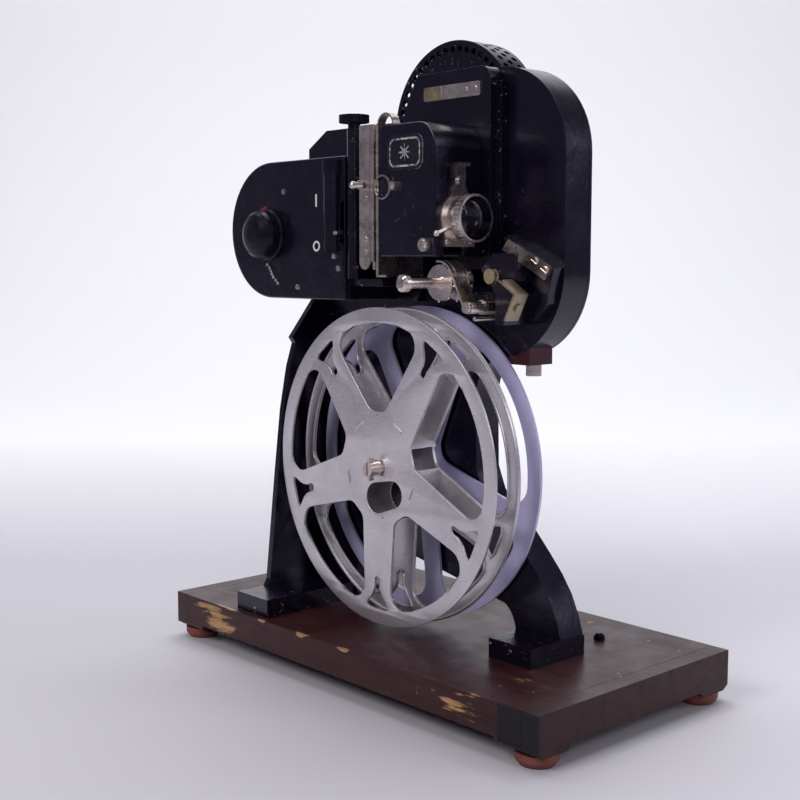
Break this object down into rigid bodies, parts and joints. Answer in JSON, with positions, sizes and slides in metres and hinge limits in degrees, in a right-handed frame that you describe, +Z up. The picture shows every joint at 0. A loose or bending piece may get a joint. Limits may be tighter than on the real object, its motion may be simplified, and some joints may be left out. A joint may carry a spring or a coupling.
{
  "type": "film projector",
  "caption": "Small table-top cine film projector on a wooden board, with lamp house, film gate, lens, toothed sprocket, motor drum and a take-up reel.",
  "frame": {"origin": "on the floor under the middle of the wooden board", "axes": "+X is the way the lens points, along the board; +Y is away from the reels, to the motor side; +Z is up"},
  "size_m": [0.304, 0.153, 0.3598],
  "materials": {
    "board_wood": "dark red-brown stained and varnished",
    "batten_wood": "dark stained and varnished",
    "screw_steel": "dulled steel",
    "foot_rubber": "red-brown rubber",
    "black_plastic": "black moulded",
    "black_paint": "black gloss enamel over fine cast texture",
    "nickel": "worn nickel plate",
    "bulb_glass": "clear",
    "socket_ceramic": "unglazed",
    "reflector_mirror": "silvered",
    "lens_glass": "clear polished",
    "mark_paint": "white paint fill",
    "steel": "machined",
    "gear_brass": "machined",
    "bar_paint": "dark red enamel",
    "belt_leather": "oiled",
    "reel_aluminium": "grey stamped sheet",
    "disc_aluminium": "lavender grey lacquer"
  },
  "bodies": {
    "frame": {"base_board": "board_wood", "end_battens": "batten_wood", "batten_screws": "screw_steel", "rubber_feet": "foot_rubber", "foot_screws": "screw_steel", "board_plug": "black_plastic", "stand": "black_paint", "stand_bolts": "screw_steel", "gear_case": "black_paint", "case_cover": "black_paint", "case_screws": "black_paint", "front_housing": "black_paint", "head_housing": "black_paint", "lamp_house": "black_paint", "lamp_house_cover": "black_paint", "cover_screws": "nickel", "lamp_bulb": "bulb_glass", "lamp_socket": "socket_ceramic", "reflector": "reflector_mirror", "condenser": "lens_glass", "switch_column": "black_paint", "index_marks": "mark_paint", "gate_plate": "nickel", "gate_screws": "nickel", "framing_post": "black_paint", "badge_plate": "black_paint", "lens_bracket": "nickel", "lens_screws": "nickel", "latch_spring": "nickel", "drum_housing": "black_paint", "motor_body": "black_paint", "shoe_pin": "nickel", "guide_bracket": "black_paint", "guide_strip": "nickel", "guide_block": "nickel", "case_bar": "bar_paint", "drive_belt": "belt_leather"},
    "motor_shaft": {"motor_rotor": "steel"},
    "shutter_unit": {"shutter": "steel", "shutter_gear": "gear_brass"},
    "claw_unit": {"claw": "steel"},
    "sprocket_unit": {"sprocket": "nickel", "sprocket_shaft": "nickel", "sprocket_gear": "gear_brass"},
    "take_up": {"spindle": "nickel", "drive_pulley": "gear_brass", "reel_flanges": "reel_aluminium", "reel_hub": "reel_aluminium", "rear_disc": "disc_aluminium", "rear_core": "disc_aluminium"},
    "lens_unit": {"lens_barrel": "nickel", "lens_glass": "lens_glass"},
    "gate_door_unit": {"gate_door": "nickel"},
    "shoe_unit": {"film_shoe": "nickel"},
    "roller_unit": {"guide_roller": "gear_brass"},
    "switch_unit": {"switch_grip": "nickel"},
    "lamp_knob_unit": {"lamp_knob": "black_plastic"},
    "framing_unit": {"framing_knob": "black_plastic"},
    "head_thumbscrew_unit": {"head_thumbscrew": "nickel"},
    "bar_screw_unit": {"bar_screw": "nickel"}
  },
  "joints": [
    {"name": "shutter_spin", "type": "hinge", "parent": "frame", "child": "shutter_unit", "pos_m": [0.025, 0, 0.2575], "axis": [0, 1, 0], "continuous": true},
    {"name": "motor_spin", "type": "hinge", "parent": "frame", "child": "motor_shaft", "pos_m": [-0.001, 0, 0.31157], "axis": [0, 1, 0], "continuous": true},
    {"name": "sprocket_spin", "type": "hinge", "parent": "frame", "child": "sprocket_unit", "pos_m": [0.0475, 0, 0.2244], "axis": [0, 1, 0], "continuous": true},
    {"name": "take_up_spin", "type": "hinge", "parent": "frame", "child": "take_up", "pos_m": [0.0015, 0, 0.1215], "axis": [0, 1, 0], "continuous": true},
    {"name": "claw_slide", "type": "slide", "parent": "frame", "child": "claw_unit", "axis": [0, 0, 1], "range_m": [-0.0038, 0.0038]},
    {"name": "lens_focus", "type": "slide", "parent": "frame", "child": "lens_unit", "axis": [1, 0, 0], "range_m": [0, 0.004]},
    {"name": "gate_open", "type": "slide", "parent": "frame", "child": "gate_door_unit", "axis": [-1, 0, 0], "range_m": [0, 0.0025], "stiffness_N_per_m": 300, "springref_m": -0.002},
    {"name": "shoe_swing", "type": "hinge", "parent": "frame", "child": "shoe_unit", "pos_m": [0.069, 0, 0.212], "axis": [0, 1, 0], "range_deg": [0, 25]},
    {"name": "roller_spin", "type": "hinge", "parent": "frame", "child": "roller_unit", "pos_m": [0.0738, 0, 0.2279], "axis": [0, 1, 0], "continuous": true},
    {"name": "lamp_switch", "type": "slide", "parent": "frame", "child": "switch_unit", "axis": [0, 0, 1], "range_m": [-0.004, 0.015]},
    {"name": "lamp_turn", "type": "hinge", "parent": "frame", "child": "lamp_knob_unit", "pos_m": [-0.0865, -0.05, 0.251], "axis": [0, -1, 0], "range_deg": [-30, 30]},
    {"name": "framing_turn", "type": "hinge", "parent": "frame", "child": "framing_unit", "pos_m": [-0.0126, -0.0465, 0.3], "axis": [0, 0, 1], "range_deg": [-90, 90]},
    {"name": "head_screw_turn", "type": "hinge", "parent": "frame", "child": "head_thumbscrew_unit", "pos_m": [0.047, -0.048, 0.244], "axis": [0, -1, 0], "range_deg": [0, 180]},
    {"name": "bar_screw_turn", "type": "hinge", "parent": "frame", "child": "bar_screw_unit", "pos_m": [0.073, 0.006, 0.176], "axis": [0, 0, -1], "range_deg": [0, 180]}
  ],
  "couplings": [
    {"joint": "motor_spin", "follows": "shutter_spin", "ratio": -11},
    {"joint": "sprocket_spin", "follows": "shutter_spin", "ratio": -0.125},
    {"joint": "take_up_spin", "follows": "shutter_spin", "ratio": -0.052083}
  ]
}
